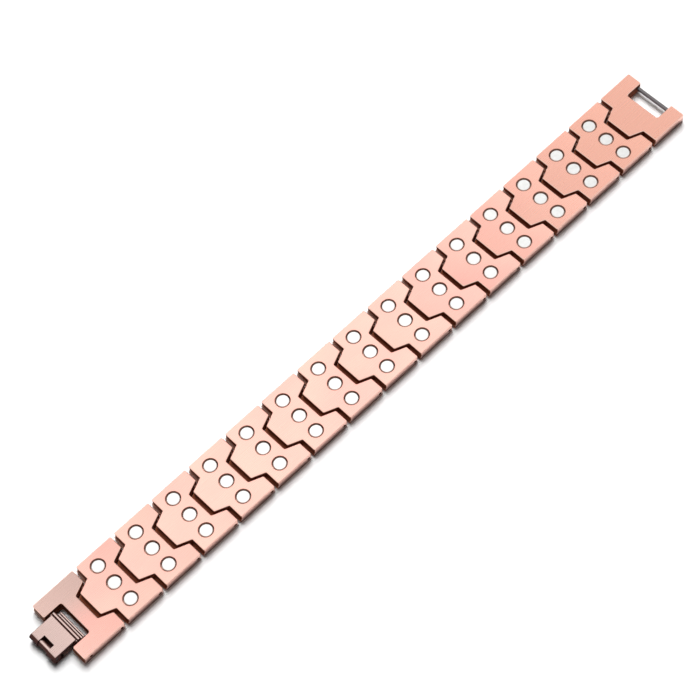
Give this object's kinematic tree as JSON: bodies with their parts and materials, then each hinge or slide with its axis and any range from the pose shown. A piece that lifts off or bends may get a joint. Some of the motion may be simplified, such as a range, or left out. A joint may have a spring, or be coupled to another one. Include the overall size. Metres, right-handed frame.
{
  "type": "magnetic bracelet",
  "caption": "Flat copper link bracelet with disc magnets set in each link, a fold-over clasp at one end and a catch bar at the other, lying open.",
  "frame": {"origin": "middle of the bracelet's box, on the surface that its outer face lies on", "axes": "+X along the band from the clasp to the catch bar, +Y across the band, +Z out of the inner face that holds the magnets"},
  "size_m": [0.22, 0.02, 0.003],
  "materials": {
    "copper": "satin brushed copper",
    "clasp_copper": "satin brushed copper, slightly dulled",
    "magnet": "satin nickel plate",
    "bar_steel": "satin",
    "pin_steel": "satin"
  },
  "bodies": {
    "band": {"end_link_clasp": "copper", "end_link_catch": "copper", "catch_bar": "bar_steel", "clasp_pin": "pin_steel", "link_01": "copper", "link_02": "copper", "link_03": "copper", "link_04": "copper", "link_05": "copper", "link_06": "copper", "link_07": "copper", "link_08": "copper", "link_09": "copper", "link_10": "copper", "link_11": "copper", "link_12": "copper", "link_13": "copper", "link_14": "copper", "link_15": "copper", "magnets_01": "magnet", "magnets_02": "magnet", "magnets_03": "magnet", "magnets_04": "magnet", "magnets_05": "magnet", "magnets_06": "magnet", "magnets_07": "magnet", "magnets_08": "magnet", "magnets_09": "magnet", "magnets_10": "magnet", "magnets_11": "magnet", "magnets_12": "magnet", "magnets_13": "magnet", "magnets_14": "magnet", "magnets_15": "magnet", "hinge_pin_01": "pin_steel", "hinge_pin_02": "pin_steel", "hinge_pin_03": "pin_steel", "hinge_pin_04": "pin_steel", "hinge_pin_05": "pin_steel", "hinge_pin_06": "pin_steel", "hinge_pin_07": "pin_steel", "hinge_pin_08": "pin_steel", "hinge_pin_09": "pin_steel", "hinge_pin_10": "pin_steel", "hinge_pin_11": "pin_steel", "hinge_pin_12": "pin_steel", "hinge_pin_13": "pin_steel", "hinge_pin_14": "pin_steel", "hinge_pin_15": "pin_steel", "hinge_pin_16": "pin_steel"},
    "clasp": {"clasp_plate": "clasp_copper", "cover_pin": "pin_steel"},
    "cover": {"clasp_cover": "clasp_copper"}
  },
  "joints": [
    {"name": "clasp_hinge", "type": "hinge", "parent": "band", "child": "clasp", "pos_m": [-0.10243, 0, 0.0016], "axis": [0, 1, 0], "range_deg": [-30, 90]},
    {"name": "cover_hinge", "type": "hinge", "parent": "clasp", "child": "cover", "pos_m": [-0.10883, 0, 0.0018], "axis": [0, 1, 0], "range_deg": [0, 150]}
  ]
}
